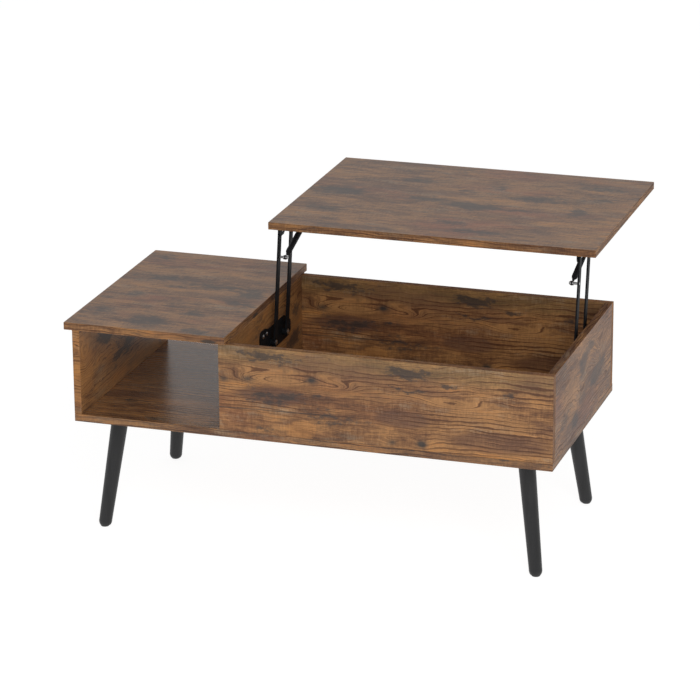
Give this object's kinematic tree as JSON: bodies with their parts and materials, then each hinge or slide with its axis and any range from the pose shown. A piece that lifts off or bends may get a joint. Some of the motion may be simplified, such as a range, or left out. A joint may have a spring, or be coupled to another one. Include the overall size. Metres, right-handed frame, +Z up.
{
  "type": "lift top coffee table",
  "caption": "Coffee table on splayed legs: open cubby under a fixed top, storage compartment under a top that rises and moves back on spring-loaded parallel arms.",
  "frame": {"origin": "on the floor, under the middle of the bounding box of the table with its lift top raised", "axes": "+X along the table to the right, +Y from the closed front panel to the back, +Z up"},
  "size_m": [1, 0.758, 0.595],
  "materials": {
    "woodgrain_laminate": "rustic brown woodgrain laminate, low gloss",
    "black_painted_wood": "solid wood, painted satin black",
    "black_steel": "stamped steel, black powder coat",
    "zinc_steel": "zinc plated",
    "spring_steel": "black oiled spring wire",
    "glide_plastic": "moulded",
    "dowel_wood": "raw beech"
  },
  "bodies": {
    "case": {"bottom_board": "woodgrain_laminate", "left_side_panel": "woodgrain_laminate", "divider_panel": "woodgrain_laminate", "right_side_panel": "woodgrain_laminate", "front_panel": "woodgrain_laminate", "back_panel": "woodgrain_laminate", "fixed_top": "woodgrain_laminate", "leg_front_left": "black_painted_wood", "leg_front_right": "black_painted_wood", "leg_back_left": "black_painted_wood", "leg_back_right": "black_painted_wood", "leg_glides": "glide_plastic", "leg_hanger_bolts": "zinc_steel", "leg_insert_nuts": "zinc_steel", "case_screws": "zinc_steel", "case_dowels": "dowel_wood", "cam_locks": "zinc_steel", "cam_bolts": "zinc_steel", "left_base_plate": "black_steel", "left_base_rivets": "zinc_steel", "left_pivot_bushes": "black_steel", "left_stop_pin": "black_steel", "left_plate_screws": "zinc_steel", "right_base_plate": "black_steel", "right_base_rivets": "zinc_steel", "right_pivot_bushes": "black_steel", "right_stop_pin": "black_steel", "right_plate_screws": "zinc_steel"},
    "left_front_arm": {"left_front_arm": "black_steel", "left_arm_spring_pin": "zinc_steel"},
    "left_rear_arm": {"left_rear_arm": "black_steel"},
    "right_front_arm": {"right_front_arm": "black_steel", "right_arm_spring_pin": "zinc_steel"},
    "right_rear_arm": {"right_rear_arm": "black_steel"},
    "lift_top": {"lift_top": "woodgrain_laminate", "left_top_bracket": "black_steel", "left_bracket_rivets": "zinc_steel", "left_bracket_screws": "zinc_steel", "left_anchor_pin": "zinc_steel", "right_top_bracket": "black_steel", "right_bracket_rivets": "zinc_steel", "right_bracket_screws": "zinc_steel", "right_anchor_pin": "zinc_steel"},
    "left_spring": {"left_lift_spring": "spring_steel"},
    "right_spring": {"right_lift_spring": "spring_steel"}
  },
  "joints": [
    {"name": "lift", "type": "hinge", "parent": "case", "child": "left_front_arm", "pos_m": [-0.156, -0.114, 0.34326], "axis": [1, 0, 0], "range_deg": [0, 82.2], "deforming": ["left_lift_spring", "right_lift_spring"]},
    {"name": "top_pivot", "type": "hinge", "parent": "left_front_arm", "child": "lift_top", "pos_m": [-0.156, -0.07539, 0.57], "axis": [1, 0, 0], "range_deg": [-82.25, 0.05]},
    {"name": "left_rear_arm_pivot", "type": "hinge", "parent": "case", "child": "left_rear_arm", "pos_m": [-0.156, -0.042, 0.34326], "axis": [1, 0, 0], "range_deg": [-0.05, 82.25]},
    {"name": "right_front_arm_pivot", "type": "hinge", "parent": "case", "child": "right_front_arm", "pos_m": [0.459, -0.114, 0.34326], "axis": [1, 0, 0], "range_deg": [-0.05, 82.25]},
    {"name": "right_rear_arm_pivot", "type": "hinge", "parent": "case", "child": "right_rear_arm", "pos_m": [0.459, -0.042, 0.34326], "axis": [1, 0, 0], "range_deg": [-0.05, 82.25]},
    {"name": "left_spring_pivot", "type": "hinge", "parent": "lift_top", "child": "left_spring", "pos_m": [-0.142, 0.02461, 0.548], "axis": [1, 0, 0], "range_deg": [-23.5, 0.05]},
    {"name": "right_spring_pivot", "type": "hinge", "parent": "lift_top", "child": "right_spring", "pos_m": [0.445, 0.02461, 0.548], "axis": [1, 0, 0], "range_deg": [-23.5, 0.05]}
  ],
  "couplings": [
    {"joint": "top_pivot", "follows": "lift", "ratio": -1},
    {"joint": "left_rear_arm_pivot", "follows": "lift", "ratio": 1},
    {"joint": "right_front_arm_pivot", "follows": "lift", "ratio": 1},
    {"joint": "right_rear_arm_pivot", "follows": "lift", "ratio": 1},
    {"joint": "left_spring_pivot", "follows": "lift", "ratio": -0.28528},
    {"joint": "right_spring_pivot", "follows": "lift", "ratio": -0.28528}
  ]
}
